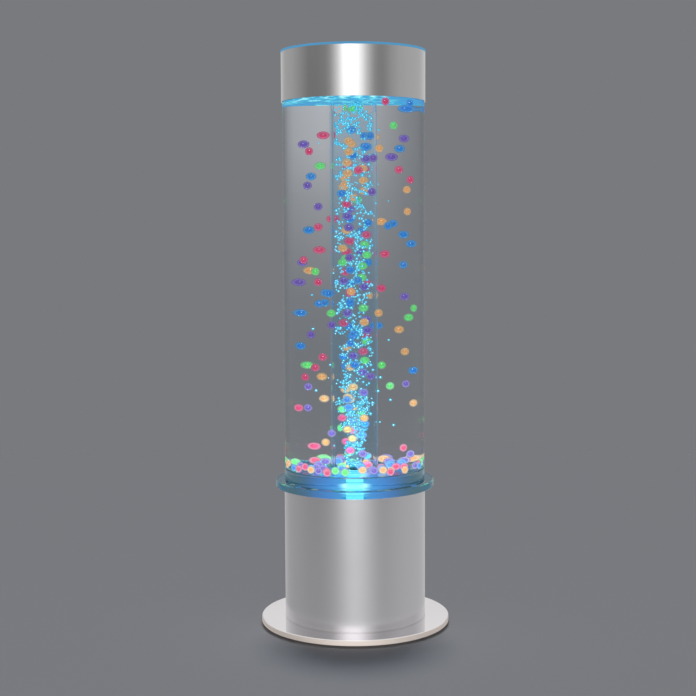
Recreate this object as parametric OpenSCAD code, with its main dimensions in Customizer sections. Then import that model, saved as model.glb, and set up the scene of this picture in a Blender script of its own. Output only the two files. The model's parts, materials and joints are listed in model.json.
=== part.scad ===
// Bubble tube floor lamp: a water-filled clear column on a drum pedestal.
// Units are millimetres, +Z is up, the origin is at the floor under the column's axis.
// The controls are on the rear, at +Y.

/* [Base] */
// Diameter of the base plate
plate_d = 270; // [250:1:320]
// Thickness of the base plate
plate_t = 8; // [6:0.5:12]
// Height of the rubber feet
foot_h = 3; // [2:0.5:8]
// Diameter of each rubber foot
foot_d = 24; // [16:1:30]
// Number of rubber feet
foot_count = 4; // [3:1:6]

/* [Pedestal] */
// Outer diameter of the pedestal shell
pedestal_d = 202; // [200:0.5:214]
// Wall of the pedestal shell
pedestal_wall = 3; // [2.5:0.1:4]
// Height of the pedestal, from the plate's top to the flange
pedestal_h = 189; // [180:1:230]
// Thickness of the deck plate inside the pedestal's top
deck_t = 5.5; // [4:0.5:8]
// Diameter of the light opening in the deck plate
deck_hole_d = 56; // [52:1:60]
// Diameter of the four tie rods
rod_d = 10; // [9:0.5:11]
// Number of vent slots on each side of the controls
vent_count = 7; // [3:1:9]
// Length of a vent slot
vent_len = 26; // [16:1:34]

/* [Tank] */
// Outer diameter of the clear tube
tube_d = 200; // [196:0.5:200]
// Wall of the clear tube
tube_wall = 5; // [4:0.5:6]
// Height of the clear tube above the flange
tube_h = 600; // [400:10:1200]
// Diameter of the flange under the tube
flange_d = 226; // [214:1:240]
// Thickness of the flange
flange_t = 10; // [8:0.5:15]
// Thickness of the tank's floor disc
floor_t = 16; // [12:0.5:20]
// Depth of the air space over the water
air_h = 65; // [62:1:90]

/* [Riser] */
// Outer diameter of the riser tube
riser_d = 50; // [46:0.5:58]
// Wall of the riser tube
riser_wall = 3; // [2:0.5:4]
// How far the riser stands out of the water
riser_proud = 5; // [2:0.5:12]
// Width of each arch in the riser's ends
arch_w = 18; // [14:0.5:20]
// Height of each arch in the riser's ends
arch_h = 25; // [18:0.5:34]
// Depth of the seat ring that holds the riser in the floor
seat_depth = 3; // [2:0.5:6]

/* [Balls] */
// Diameter of a floating ball
ball_d = 11; // [9:0.25:11.5]
// Number of sectors round the riser that balls drift in
sector_count = 5; // [4:1:6]
// Share of the drifting places that hold a ball
drift_fill = 0.62; // [0.4:0.02:0.8]
// Share of the places inside the riser that hold a ball
riser_fill = 0.85; // [0.5:0.05:1]
// Share of the places on the floor that hold a ball
floor_fill = 0.42; // [0.2:0.02:0.6]

/* [Air and light] */
// Diameter of the light plug inside the flange
plug_d = 16.5; // [15:0.5:20]
// Diameter of the light plug inside the floor disc
plug_head_d = 26; // [23:0.5:30]
// Diameter of the air nozzle's head
nozzle_d = 12; // [10:0.5:14]
// Outer diameter of the air hose
hose_d = 6; // [5.5:0.25:7]
// Bore of the air hose
hose_bore = 4.1; // [3.6:0.1:4.4]
// Number of lights on the light board
led_count = 8; // [6:1:10]

/* [Pump] */
// Length of the pump's case
pump_len = 116; // [112:1:120]
// Width of the pump's case
pump_w = 64; // [62:1:66]
// Height of the pump's cover
pump_cover_h = 45; // [42:1:55]
// Air gap between the magnet and the core
magnet_gap = 2.5; // [2.2:0.1:3.5]
// Outer diameter of the bellows
bellows_d = 26; // [22:0.5:28]
// Number of folds in the bellows
fold_count = 3; // [2:1:4]

/* [Controls] */
// Height of the power inlet above the floor
inlet_z = 34; // [30:1:38]
// Height of the power switch above the floor
switch_z = 64; // [60:1:68]
// Height of the colour button above the floor
button_z = 94; // [90:1:110]
// Diameter of the colour button's cap
button_d = 10; // [8:0.5:11]
// How far the colour button stands proud
button_proud = 3.5; // [3:0.25:5]
// Travel of the colour button
button_travel = 2.5; // [1.5:0.25:2.75]
// Angle that the rocker leans to each side
rocker_lean = 10; // [6:1:12]

/* [Cap] */
// Height of the collar
collar_h = 68; // [50:1:90]
// Wall of the collar
collar_wall = 1; // [0.8:0.1:1.5]
// Thickness of the collar's ledge on the tube's rim
ledge_t = 2.4; // [1.5:0.1:4]
// Width of the collar's ledge, measured in from the tube's outside
ledge_w = 12; // [8:0.5:16]
// Thickness of the clear lid
lid_t = 3; // [2:0.5:6]
// How far the lid's edge overhangs the collar
lid_over = 0.5; // [0:0.1:2]

/* [Fits] */
// Gap between pieces that slide over each other
slip = 0.3; // [0.2:0.05:0.5]
// Gap round a running pin or button
running = 0.05; // [0.02:0.01:0.1]
// Gap round a piece that is bonded in its seat
bond = 0.1; // [0.05:0.05:0.2]

/* [Hidden] */
$fn = 96;

// Heights of the main seats.
plate_z = foot_h + plate_t;
groove_depth = 2;
flange_z = plate_z + pedestal_h;
flange_top = flange_z + flange_t;
floor_z = flange_top + floor_t;
rim_z = flange_top + tube_h;
water_z = rim_z - air_h;
riser_top = water_z + riser_proud;
deck_gap = 0.5;
deck_z = flange_z - deck_gap - deck_t;
lid_z = rim_z + ledge_t;

// Radii that fit inside each other.
shell_r = pedestal_d / 2;
shell_bore_r = shell_r - pedestal_wall;
rebate = 1.5;
deck_r = shell_bore_r + rebate - bond;
tube_r = tube_d / 2;
bore_r = tube_r - tube_wall;
riser_r = riser_d / 2;
riser_bore_r = riser_r - riser_wall;
collar_bore_r = tube_r + slip;
collar_r = collar_bore_r + collar_wall;
edge = 0.8;
through = 1;

// Tie rods stand on a square, clear of the pump's corners.
rod_ring_r = shell_bore_r - rod_d / 2 - 5;
rod_screw_d = 5;
rod_screw_head = 10;
rod_screw_len = 16;
socket_d = 3.5;
socket_depth = 1.5;

module at_rods() {
  for (a = [45:90:315]) rotate(a) translate([rod_ring_r, 0, 0]) children();
}

// A ring with the given outside, bore and height.
module ring(outer_r, inner_r, h) {
  difference() {
    cylinder(r = outer_r, h = h);
    translate([0, 0, -through]) cylinder(r = inner_r, h = h + 2 * through);
  }
}

// A disc with chamfered top and bottom edges.
module disc(r, h, chamfer) {
  rotate_extrude()
    polygon([[0, 0], [r - chamfer, 0], [r, chamfer], [r, h - chamfer], [r - chamfer, h], [0, h]]);
}

// A block with round upright corners, centred on the axis.
module round_block(len, w, h, r) {
  translate([-len / 2, r - w / 2, 0]) cube([len, w - 2 * r, h]);
  translate([r - len / 2, -w / 2, 0]) cube([len - 2 * r, w, h]);
  for (x = [-1, 1], y = [-1, 1])
    translate([x * (len / 2 - r), y * (w / 2 - r), 0]) cylinder(r = r, h = h);
}

// A countersunk screw, head up, with its head's flat at z = 0.
module countersunk(d, head_d, len) {
  cylinder_h = (head_d - d) / 2;
  translate([0, 0, -cylinder_h]) cylinder(d1 = d, d2 = head_d, h = cylinder_h);
  translate([0, 0, -len]) cylinder(d = d, h = len - cylinder_h);
}

// A countersunk screw with a hexagon socket, of the size that holds the tie rods.
module rod_screw() {
  difference() {
    countersunk(rod_screw_d, rod_screw_head, rod_screw_len);
    translate([0, 0, -socket_depth]) cylinder(d = socket_d, h = socket_depth + through, $fn = 6);
  }
}

// A pan head screw, head up, with its head's underside at z = 0.
module pan_screw(d, head_d, head_h, len) {
  cylinder(d = head_d, h = head_h);
  translate([0, 0, -len]) cylinder(d = d, h = len);
}

// ---- Swept tubes for hoses and leads ----

function unit(v) = v / norm(v);
function bezier(p, t) =
  pow(1 - t, 3) * p[0] + 3 * t * pow(1 - t, 2) * p[1] + 3 * t * t * (1 - t) * p[2] + pow(t, 3) * p[3];
function bezier_dir(p, t) =
  unit(pow(1 - t, 2) * (p[1] - p[0]) + 2 * t * (1 - t) * (p[2] - p[1]) + t * t * (p[3] - p[2]));

// Stations, each a point and a direction, along a route that leaves its start straight along
// start_dir for start_len, curves, and comes to its end straight along end_dir for end_len.
function route(start, start_dir, start_len, start_pull, end, end_dir, end_len, end_pull, steps) =
  let(a = start + start_dir * start_len, b = end - end_dir * end_len,
    p = [a, a + start_dir * start_pull, b - end_dir * end_pull, b])
  concat([[start, start_dir]], [for (i = [0:steps]) [bezier(p, i / steps), bezier_dir(p, i / steps)]],
    [[end, end_dir]]);

// A ring of points round one station.
function ring_at(station, r, sides, side_dir) =
  let(dir = station[1], u = unit(cross(side_dir, dir)), v = cross(dir, u))
  [for (k = [0:sides - 1]) station[0] + r * (cos(360 * k / sides) * u + sin(360 * k / sides) * v)];

// A solid cord along the stations.
module cord(stations, d, side_dir, sides = 8) {
  last = len(stations) - 1;
  rings = [for (s = stations) each ring_at(s, d / 2, sides, side_dir)];
  walls = [for (i = [0:last - 1], k = [0:sides - 1]) let(n = (k + 1) % sides)
    each [[i * sides + k, (i + 1) * sides + k, i * sides + n],
      [i * sides + n, (i + 1) * sides + k, (i + 1) * sides + n]]];
  start = [for (k = [0:sides - 1]) k];
  end = [for (k = [sides - 1:-1:0]) last * sides + k];
  polyhedron(rings, concat(walls, [start, end]));
}

// A hollow hose along the stations.
module hose(stations, d, bore, side_dir, sides = 12) {
  inner_r = bore / 2 / cos(180 / sides);
  outer = [for (s = stations) each ring_at(s, d / 2, sides, side_dir)];
  inner = [for (s = stations) each ring_at(s, inner_r, sides, side_dir)];
  base = len(outer);
  walls = [for (i = [0:len(stations) - 2], k = [0:sides - 1])
    let(n = (k + 1) % sides, a = i * sides, b = a + sides)
    each [[a + k, b + k, a + n], [a + n, b + k, b + n],
      [base + a + k, base + a + n, base + b + k], [base + a + n, base + b + n, base + b + k]]];
  last = base - sides;
  ends = [for (k = [0:sides - 1]) let(n = (k + 1) % sides)
    each [[k, n, base + k], [n, base + n, base + k],
      [last + k, base + last + k, last + n], [last + n, base + last + k, base + last + n]]];
  polyhedron(concat(outer, inner), concat(walls, ends));
}

// ---- Base ----

foot_ring_r = plate_d / 2 - foot_d / 2 - 6;
foot_taper = 1.5;

module base_feet() {
  color("dimgray")
    for (i = [0:foot_count - 1]) rotate(45 + 360 * i / foot_count) translate([foot_ring_r, 0, 0])
      rotate_extrude()
        polygon([[0, 0], [foot_d / 2 - foot_taper, 0], [foot_d / 2, foot_h], [0, foot_h]]);
}

module base_plate() {
  color("lightgray")
    difference() {
      translate([0, 0, foot_h]) disc(plate_d / 2, plate_t, edge);
      translate([0, 0, plate_z - groove_depth]) ring(shell_r + bond, shell_bore_r - bond, plate_t);
      translate([0, 0, foot_h]) at_rods() mirror([0, 0, 1])
        countersunk(rod_screw_d + 2 * bond, rod_screw_head + 2 * bond, plate_t + through);
    }
}

module base_screws() {
  color("silver")
    translate([0, 0, foot_h]) at_rods() mirror([0, 0, 1]) rod_screw();
}

module tie_rods() {
  hole_depth = rod_screw_len - deck_t + 2;
  color("silver")
    at_rods()
      difference() {
        translate([0, 0, plate_z]) cylinder(d = rod_d, h = deck_z - plate_z);
        translate([0, 0, plate_z - through]) cylinder(d = rod_screw_d + 2 * bond, h = hole_depth + through);
        translate([0, 0, deck_z - hole_depth])
          cylinder(d = rod_screw_d + 2 * bond, h = hole_depth + through);
      }
}

// ---- Pedestal ----

vent_w = 3;
vent_z = 44;
vent_step = 4;
vent_start = 28;
switch_w = 12.6;
switch_tall = 18.6;
barrel_d = 12;
inlet_barrel_d = 10.8;

// Turns a shape's +Z to the rear, so that it is drilled or fitted through the rear wall.
module rearward(z) {
  translate([0, 0, z]) rotate([-90, 0, 0]) children();
}

module pedestal_shell() {
  foot_z = plate_z - groove_depth;
  color("silver")
    difference() {
      translate([0, 0, foot_z]) ring(shell_r, shell_bore_r, flange_z - foot_z);
      translate([0, 0, deck_z]) cylinder(r = shell_bore_r + rebate, h = flange_z - deck_z + through);
      rearward(inlet_z) cylinder(d = inlet_barrel_d + 2 * bond, h = shell_r + through);
      rearward(button_z) cylinder(d = barrel_d + 2 * bond, h = shell_r + through);
      translate([-switch_w / 2 - bond, 0, switch_z - switch_tall / 2 - bond])
        cube([switch_w + 2 * bond, shell_r + through, switch_tall + 2 * bond]);
      for (s = [-1, 1], i = [0:vent_count - 1]) rotate(s * (vent_start + vent_step * i)) vent_cut();
    }
}

module vent_cut() {
  half = vent_len / 2 - vent_w / 2;
  translate([-vent_w / 2, shell_bore_r - through, vent_z - half])
    cube([vent_w, pedestal_wall + 2 * through, 2 * half]);
  for (s = [-1, 1]) translate([0, shell_bore_r - through, vent_z + s * half])
    rotate([-90, 0, 0]) cylinder(d = vent_w, h = pedestal_wall + 2 * through);
}

module deck_plate() {
  color("gainsboro")
    translate([0, 0, deck_z]) difference() {
      ring(deck_r, deck_hole_d / 2, deck_t);
      translate([0, 0, deck_t]) at_rods()
        countersunk(rod_screw_d + 2 * bond, rod_screw_head + 2 * bond, deck_t + through);
      at_board_screws() translate([0, 0, -through]) cylinder(d = board_screw_d + 2 * bond, h = deck_t);
    }
}

module deck_screws() {
  color("silver")
    translate([0, 0, deck_z + deck_t]) at_rods() rod_screw();
}

module bond_ring() {
  margin = 3;
  outer_r = rod_ring_r - rod_screw_head / 2 - margin;
  color("white")
    translate([0, 0, flange_z - deck_gap]) ring(outer_r, deck_hole_d / 2 + margin, deck_gap);
}

// ---- Tank ----

module tank_flange() {
  color("lightskyblue", 0.5)
    translate([0, 0, flange_z]) difference() {
      disc(flange_d / 2, flange_t, edge);
      translate([0, 0, -through]) cylinder(r = plug_d / 2 + bond, h = flange_t + 2 * through);
    }
}

module outer_tube() {
  color("lightskyblue", 0.3)
    translate([0, 0, flange_top]) ring(tube_r, bore_r, tube_h);
}

module tank_floor() {
  color("deepskyblue", 0.6)
    translate([0, 0, flange_top]) difference() {
      cylinder(r = bore_r - bond, h = floor_t);
      translate([0, 0, -through]) cylinder(r = plug_head_d / 2 + bond, h = floor_t + 2 * through);
      translate([0, 0, floor_t - seat_depth]) ring(riser_r + bond, riser_bore_r - bond, seat_depth + through);
    }
}

// One arch, open at z = 0, cut through both walls along X.
module arch_cut(w, h, reach) {
  translate([-reach, 0, 0]) rotate([90, 0, 90]) linear_extrude(2 * reach) {
    translate([-w / 2, -through]) square([w, h - w / 2 + through]);
    translate([0, h - w / 2]) circle(d = w);
  }
}

// The riser's wall, or with a gap the room that the water leaves for it.
module riser_wall(gap) {
  bottom = floor_z - seat_depth;
  difference() {
    translate([0, 0, bottom]) ring(riser_r + gap, riser_bore_r - gap, riser_top - bottom + gap);
    for (a = [45, 135]) rotate(a) {
      translate([0, 0, floor_z]) arch_cut(arch_w - 2 * gap, arch_h - gap, riser_r + 2 * through);
      translate([0, 0, bottom]) arch_cut(arch_w - 2 * gap, arch_w, riser_r + 2 * through);
      translate([0, 0, riser_top]) mirror([0, 0, 1])
        arch_cut(arch_w - 2 * gap, arch_h - gap, riser_r + 2 * through);
    }
  }
}

module riser_tube() {
  color("lightskyblue", 0.4)
    riser_wall(0);
}

// ---- Light and air fitting ----

stem_d = 6;
stem_end = deck_z - 4;
barb_d = hose_bore - 2 * running;
barb_len = 9;
nut_af = 10;
nut_h = 4;
seal_t = 1.2;
seal_inset = 0.5;
nozzle_h = 3;
nozzle_edge = 1.2;
air_bore = 2;
jet_d = 0.8;
jet_ring_r = 2.4;
jet_room_r = 3.2;
jet_room_z = 0.6;
jet_room_h = 0.8;
board_t = 1.6;
board_r = deck_hole_d / 2 + 9;
board_hole_r = 8;
board_screw_d = 3;
board_screw_bite = 4;
board_screw_ring_r = deck_hole_d / 2 + 4.5;
led_size = 5;
led_h = 1.6;
led_dish = 0.4;
led_ring_r = 17;

module light_plug() {
  color("aqua", 0.8)
    difference() {
      union() {
        translate([0, 0, flange_z]) cylinder(d = plug_d, h = flange_t + through);
        translate([0, 0, flange_top]) cylinder(d = plug_head_d, h = floor_t);
      }
      translate([0, 0, flange_z - through])
        cylinder(d = stem_d + 2 * bond, h = flange_t + floor_t + 2 * through);
    }
}

module air_nozzle() {
  head_z = floor_z + seal_t;
  color("dimgray")
    difference() {
      union() {
        translate([0, 0, head_z]) rotate_extrude()
          polygon([[0, 0], [nozzle_d / 2, 0], [nozzle_d / 2, nozzle_h - nozzle_edge],
            [nozzle_d / 2 - nozzle_edge, nozzle_h], [0, nozzle_h]]);
        translate([0, 0, stem_end]) cylinder(d = stem_d, h = head_z - stem_end + seal_t);
        translate([0, 0, stem_end - barb_len]) cylinder(d = barb_d, h = barb_len + through);
      }
      translate([0, 0, stem_end - barb_len - through])
        cylinder(d = air_bore, h = head_z + jet_room_z - stem_end + barb_len + 2 * through);
      for (a = [0:60:300]) rotate(a) translate([jet_ring_r, 0, head_z + 1])
        cylinder(d = jet_d, h = nozzle_h);
      translate([0, 0, head_z + jet_room_z]) cylinder(r = jet_room_r, h = jet_room_h);
    }
}

module nozzle_seal() {
  color("black")
    translate([0, 0, floor_z]) ring(nozzle_d / 2 - seal_inset, stem_d / 2 + bond, seal_t);
}

module nozzle_nut() {
  color("silver")
    translate([0, 0, flange_z - nut_h]) difference() {
      cylinder(d = nut_af / cos(30), h = nut_h, $fn = 6);
      translate([0, 0, -through]) cylinder(d = stem_d + 2 * bond, h = nut_h + 2 * through);
    }
}

module at_board_screws() {
  for (a = [90:120:330]) rotate(a) translate([board_screw_ring_r, 0, 0]) children();
}

module led_board() {
  color("white")
    translate([0, 0, deck_z - board_t]) difference() {
      ring(board_r, board_hole_r, board_t);
      at_board_screws() translate([0, 0, -through])
        cylinder(d = board_screw_d + 2 * bond, h = board_t + 2 * through);
    }
}

module leds() {
  color("aqua")
    for (i = [0:led_count - 1]) rotate(360 * i / led_count)
      translate([led_ring_r - led_size / 2, -led_size / 2, deck_z]) difference() {
        cube([led_size, led_size, led_h]);
        translate([led_size / 2, led_size / 2, led_h - led_dish]) cylinder(d = led_size - 1, h = led_h);
      }
}

module board_screws() {
  color("silver")
    translate([0, 0, deck_z - board_t]) at_board_screws() mirror([0, 0, 1])
      pan_screw(board_screw_d, 5.5, 2, board_t + board_screw_bite);
}

// ---- Pump ----

pump_y = -30;
pump_corner = 12;
pump_foot_h = 5;
pump_foot_d = 13;
tray_h = 10;
tray_floor = 2.5;
pump_screw_d = 3;
pump_screw_head = 6;
pump_screw_bite = 12;
case_wall = 2.2;
boss_d = 8;
grille_step = 7;
grille_w = 2.5;
grille_tall = 22;
pump_end = 0.12 * pump_len;
core_w = 0.36 * pump_len;
core_leg = core_w / 6;
core_mid = 2 * core_leg;
core_window = (core_w - core_mid) / 2 - core_leg;
core_depth = 18;
core_h = 26;
core_x = pump_end - pump_len / 2 - 2;
core_z = plate_z + pump_foot_h + tray_floor;
pole_z = core_z + core_h;
magnet_h = 5;
magnet_len = 24;
magnet_w = 16;
arm_z = pole_z + magnet_gap + magnet_h;
arm_t = 3;
arm_w = 14;
arm_eye_r = 4;
pivot_x = pump_len / 2 - pump_end;
pivot_z = arm_z + arm_t / 2;
pivot_pin_d = 3;
block_h = 18;
block_side = 0.26 * pump_len;
bellows_x = pivot_x - block_side;
block_top = core_z + block_h;
nozzle_y = block_side / 2 + 6;
case_top = plate_z + pump_foot_h + tray_h + pump_cover_h;
outlet_z = case_top + 4;

module in_pump() {
  translate([0, pump_y, 0]) children();
}

module at_pump_corners() {
  for (x = [-1, 1], y = [-1, 1])
    translate([x * (pump_len / 2 - pump_corner), y * (pump_w / 2 - pump_corner), 0]) children();
}

module pump_feet() {
  color("black")
    in_pump() at_pump_corners() translate([0, 0, plate_z]) difference() {
      cylinder(d1 = pump_foot_d - 2, d2 = pump_foot_d, h = pump_foot_h);
      translate([0, 0, pump_foot_h / 2]) cylinder(d = pump_screw_head + 1, h = pump_foot_h);
    }
}

module pump_tray() {
  z = plate_z + pump_foot_h;
  color("darkslategray")
    in_pump() difference() {
      translate([0, 0, z]) round_block(pump_len, pump_w, tray_h, pump_corner);
      translate([0, 0, z + tray_floor])
        round_block(pump_len - 2 * case_wall, pump_w - 2 * case_wall, tray_h, pump_corner - case_wall);
      at_pump_corners() translate([0, 0, z - through]) cylinder(d = pump_screw_d + 2 * slip, h = tray_h);
      for (x = [-12:6:12]) translate([x - 1.5, -24, z - through]) cube([3, 10, tray_floor + 2 * through]);
    }
}

module pump_cover() {
  z = plate_z + pump_foot_h + tray_h;
  inside_h = pump_cover_h - case_wall;
  color("slategray")
    in_pump() difference() {
      union() {
        difference() {
          translate([0, 0, z]) round_block(pump_len, pump_w, pump_cover_h, pump_corner);
          translate([0, 0, z - through])
            round_block(pump_len - 2 * case_wall, pump_w - 2 * case_wall, inside_h + through,
              pump_corner - case_wall);
        }
        at_pump_corners() translate([0, 0, core_z]) cylinder(d = boss_d, h = z + inside_h - core_z + through);
      }
      at_pump_corners() translate([0, 0, core_z - through])
        cylinder(d = pump_screw_d + 2 * bond, h = pump_screw_bite + 1 + through);
      translate([bellows_x, nozzle_y, z]) cylinder(d = hose_d + 2 * slip, h = pump_cover_h + through);
      for (i = [-4:4]) translate([i * grille_step - grille_w / 2, -pump_w / 2 - through, z + 10])
        cube([grille_w, case_wall + 2 * through, grille_tall]);
    }
}

module pump_screws() {
  color("silver")
    in_pump() at_pump_corners() translate([0, 0, plate_z + pump_foot_h]) mirror([0, 0, 1])
      pan_screw(pump_screw_d, pump_screw_head, 2, tray_floor + pump_screw_bite);
}

// The laminated core, an E with its three poles up.
module pump_core() {
  color("gray")
    in_pump() translate([core_x, core_depth / 2, core_z]) rotate([90, 0, 0]) linear_extrude(core_depth) {
      square([core_w, core_leg]);
      square([core_leg, core_h]);
      translate([core_leg + core_window, 0]) square([core_mid, core_h]);
      translate([core_w - core_leg, 0]) square([core_leg, core_h]);
    }
}

module pump_coil() {
  side = core_window - slip;
  h = core_h - core_leg - 3;
  color("orangered")
    in_pump() translate([core_x + core_w / 2, 0, core_z + core_leg + slip]) difference() {
      round_block(core_mid + 2 * side, core_depth + 2 * side, h, 3);
      translate([-core_mid / 2 - bond, -core_depth / 2 - bond, -through])
        cube([core_mid + 2 * bond, core_depth + 2 * bond, h + 2 * through]);
    }
}

module pump_magnet() {
  color("dimgray")
    in_pump() translate([core_x + core_w / 2 - magnet_len / 2, -magnet_w / 2, pole_z + magnet_gap])
      cube([magnet_len, magnet_w, magnet_h]);
}

module pump_arm() {
  left = core_x + core_w / 2 - magnet_len / 2 - 2;
  color("gainsboro")
    in_pump() difference() {
      union() {
        translate([left, -arm_w / 2, arm_z]) cube([pivot_x - left, arm_w, arm_t]);
        translate([pivot_x, arm_w / 2, pivot_z]) rotate([90, 0, 0]) cylinder(r = arm_eye_r, h = arm_w);
      }
      translate([pivot_x, arm_w / 2 + through, pivot_z]) rotate([90, 0, 0])
        cylinder(d = pivot_pin_d + 2 * running, h = arm_w + 2 * through);
    }
}

// The pivot bracket, two ears and the pin between them.
module pump_pivot() {
  ear_y = arm_w / 2 + slip;
  ear_t = 3;
  ear_r = 5;
  color("black")
    in_pump() {
      translate([pivot_x - ear_r, -ear_y - ear_t, core_z]) cube([2 * ear_r, 2 * ear_y + 2 * ear_t, 8]);
      for (s = [-1, 1]) translate([pivot_x - ear_r, s * (ear_y + ear_t / 2) - ear_t / 2, core_z])
        cube([2 * ear_r, ear_t, pivot_z - core_z]);
      for (s = [-1, 1]) translate([pivot_x, s * (ear_y + ear_t / 2) + ear_t / 2, pivot_z]) rotate([90, 0, 0])
        cylinder(r = ear_r, h = ear_t);
      translate([pivot_x, ear_y + through, pivot_z]) rotate([90, 0, 0])
        cylinder(d = pivot_pin_d, h = 2 * ear_y + 2 * through);
    }
}

// The rubber bellows between the valve block and the arm, with its folds.
module pump_bellows() {
  h = arm_z - block_top;
  r = bellows_d / 2;
  step = h / fold_count;
  fold_depth = 3;
  color("black")
    in_pump() translate([bellows_x, 0, block_top]) rotate_extrude()
      polygon(concat([[0, 0]],
        [for (i = [0:fold_count - 1]) each [[r - fold_depth, i * step], [r, (i + 0.5) * step]]],
        [[r - fold_depth, h], [0, h]]));
}

module valve_block() {
  color("lightgray")
    in_pump() {
      difference() {
        translate([bellows_x - block_side / 2, -block_side / 2, core_z])
          cube([block_side, block_side, block_h]);
        translate([bellows_x, 0, block_top - 4]) cylinder(r = bellows_d / 2 - 5, h = 5);
      }
      translate([bellows_x - 4, block_side / 2 - through, core_z + 2])
        cube([8, nozzle_y - block_side / 2 + through + 4, 10]);
      translate([bellows_x, nozzle_y, core_z + 4]) cylinder(d = hose_d, h = outlet_z - core_z - 4);
      translate([bellows_x, nozzle_y, outlet_z - through]) cylinder(d = barb_d, h = barb_len + through);
    }
}

// ---- Air line ----

valve_x = bellows_x;
valve_y = pump_y + nozzle_y;
valve_z = outlet_z + 26;
valve_h = 30;
up = [0, 0, 1];

module hose_lower() {
  start = [valve_x, valve_y, outlet_z];
  end = [valve_x, valve_y, valve_z];
  color("gainsboro")
    hose([[start, up], [(start + end) / 2, up], [end, up]], hose_d, hose_bore, [0, 1, 0]);
}

module check_valve() {
  color("white")
    translate([valve_x, valve_y, valve_z]) {
      cylinder(d = hose_d + 2, h = valve_h);
      translate([0, 0, 8]) cylinder(d = 18, h = 5);
      translate([0, 0, 13]) cylinder(d = 16, h = 4);
      translate([0, 0, 17]) cylinder(d = 18, h = 5);
      translate([0, 0, -barb_len]) cylinder(d = barb_d, h = valve_h + 2 * barb_len);
    }
}

module hose_upper() {
  straight = barb_len + 1;
  pull = (stem_end - valve_z - valve_h) / 2 - straight;
  color("gainsboro")
    hose(route([valve_x, valve_y, valve_z + valve_h], up, straight, pull,
      [0, 0, stem_end], up, straight, pull, 12), hose_d, hose_bore, [0, 1, 0]);
}

// ---- Control box ----

box_y = 44;
box_len = 84;
box_w = 40;
box_h = 24;
box_wall = 2;
box_lid_t = 2.5;
box_boss_r = 3;
circuit_z = plate_z + 8;
circuit_len = 68;
circuit_w = 24;
peg_x = 30;
peg_y = 9;
peg_r = 1.5;
lid_screw_d = 2.5;
entry_z = plate_z + 14;
entry_step = 16;
lead_d = 3;
terminal_y = 10;
terminal_len = 44;
terminal_w = 5;
terminal_h = 8;

module in_box() {
  translate([0, box_y, 0]) children();
}

module at_box_corners() {
  for (x = [-1, 1], y = [-1, 1])
    translate([x * (box_len / 2 - box_boss_r - 1), y * (box_w / 2 - box_boss_r - 1), 0]) children();
}

module control_box() {
  color("darkgray")
    in_box() difference() {
      union() {
        difference() {
          translate([0, 0, plate_z]) round_block(box_len, box_w, box_h, 3);
          translate([0, 0, plate_z + box_wall])
            round_block(box_len - 2 * box_wall, box_w - 2 * box_wall, box_h, 1.5);
        }
        at_box_corners() translate([0, 0, plate_z + 1]) cylinder(r = box_boss_r, h = box_h - 1);
        for (x = [-peg_x, peg_x], y = [-peg_y, peg_y]) translate([x, y, plate_z + 1]) {
          cylinder(r = peg_r + 1, h = circuit_z - plate_z - 1);
          cylinder(r = peg_r, h = circuit_z - plate_z + 2);
        }
      }
      at_box_corners() translate([0, 0, plate_z + 6]) cylinder(d = lid_screw_d + 2 * bond, h = box_h);
      for (i = [-1:1]) translate([i * entry_step, 0, entry_z]) rotate([-90, 0, 0])
        cylinder(d = lead_d + 2 * slip, h = box_w);
      for (i = [-1, 1]) translate([i * entry_step, 0, entry_z]) rotate([90, 0, 0])
        cylinder(d = lead_d + 2 * slip, h = box_w);
    }
}

module control_lid() {
  color("darkgray")
    in_box() translate([0, 0, plate_z + box_h]) difference() {
      round_block(box_len, box_w, box_lid_t, 3);
      at_box_corners() translate([0, 0, -through])
        cylinder(d = lid_screw_d + 2 * bond, h = box_lid_t + 2 * through);
    }
}

module lid_screws() {
  color("silver")
    in_box() at_box_corners() translate([0, 0, plate_z + box_h + box_lid_t])
      pan_screw(lid_screw_d, 5, 1.6, 12);
}

module control_board() {
  color("green")
    in_box() translate([0, 0, circuit_z]) difference() {
      translate([-circuit_len / 2, -circuit_w / 2, 0]) cube([circuit_len, circuit_w, board_t]);
      for (x = [-peg_x, peg_x], y = [-peg_y, peg_y]) translate([x, y, -through])
        cylinder(r = peg_r + bond, h = board_t + 2 * through);
    }
}

module board_parts() {
  z = circuit_z + board_t;
  color("seagreen")
    in_box() translate([0, 0, z]) {
      for (s = [-1, 1]) translate([-terminal_len / 2, s * (terminal_y - terminal_w / 2) - terminal_w / 2, 0])
        cube([terminal_len, terminal_w, terminal_h]);
      translate([-6, -4, 0]) cube([12, 8, 2.5]);
      for (x = [-14, 14]) translate([x, 0, 0]) cylinder(d = 6, h = 10);
    }
}

// ---- Rear controls ----

inlet_depth = 16;
inlet_flange_d = 15;
inlet_face = shell_r + 2.5;
jack_bore = 6.4;
jack_depth = 11;
jack_pin_d = 2;
inlet_af = 14;
thin_nut_h = 2.5;
switch_depth = 12;
bezel_w = 16;
bezel_tall = 23;
bezel_face = shell_r + 2.5;
rocker_half = 7;
rocker_w = 9.6;
rocker_tip = 3.2;
rocker_dip = 2;
rocker_pin_d = 2;
pivot_in = 1.5;
rocker_y = bezel_face - pivot_in;
button_face = shell_r + 2.5;
button_flange_d = 17;
button_depth = 18;
button_len = 9;
button_af = 16;

// How far back a flat face this wide lies from the curved inner wall.
function inner_seat(half_w) = sqrt(shell_bore_r * shell_bore_r - half_w * half_w) - running;

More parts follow.
